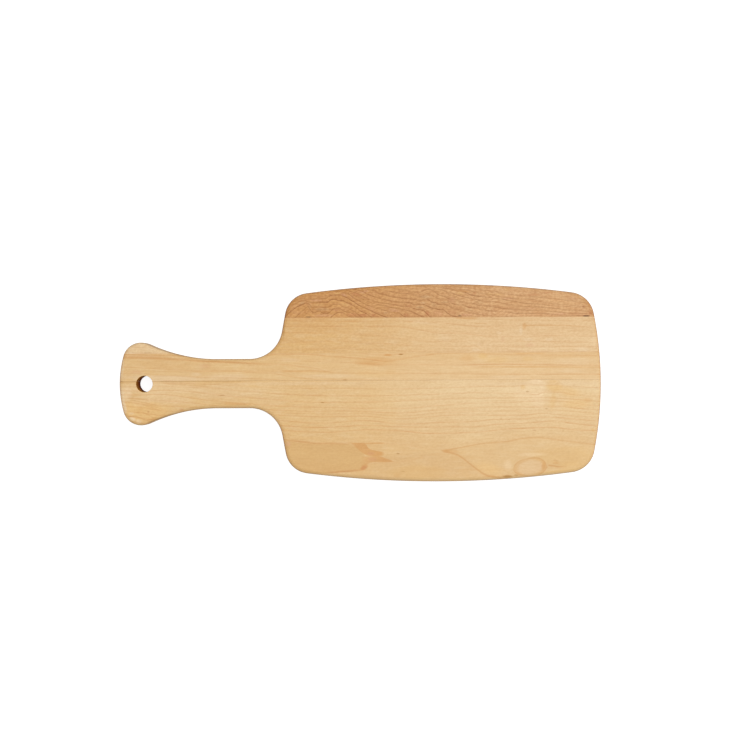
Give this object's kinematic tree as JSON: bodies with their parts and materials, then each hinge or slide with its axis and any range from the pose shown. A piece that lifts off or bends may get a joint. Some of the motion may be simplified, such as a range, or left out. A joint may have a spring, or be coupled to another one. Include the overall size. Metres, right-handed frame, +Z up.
{
  "type": "paddle serving board",
  "caption": "Wooden paddle serving board: bowed blade of edge-glued maple staves with a reddish heartwood stave along one side, flared handle and a hanging hole.",
  "frame": {"origin": "centre of the board's bounding box on the face it lies on", "axes": "+X along the board from the handle to the far end, +Y across it towards the heartwood stave, +Z up out of the serving face"},
  "size_m": [0.3714, 0.1524, 0.0191],
  "materials": {
    "heartwood_maple": "red-brown maple heartwood, sanded and oiled, satin",
    "upper_maple": "pale maple, faint straight grain, sanded and oiled, satin",
    "centre_maple": "pale maple, warm streaks, sanded and oiled, satin",
    "wide_maple": "pale flat-sawn maple with a heart patch, sanded and oiled, satin",
    "wood_glue": "thin cured wood glue line"
  },
  "bodies": {
    "root": {"heartwood_stave": "heartwood_maple", "upper_stave": "upper_maple", "centre_stave": "centre_maple", "wide_stave": "wide_maple", "handle_ear": "upper_maple", "heartwood_glue_film": "wood_glue", "upper_glue_film": "wood_glue", "centre_glue_film": "wood_glue", "ear_glue_film": "wood_glue"}
  },
  "joints": []
}
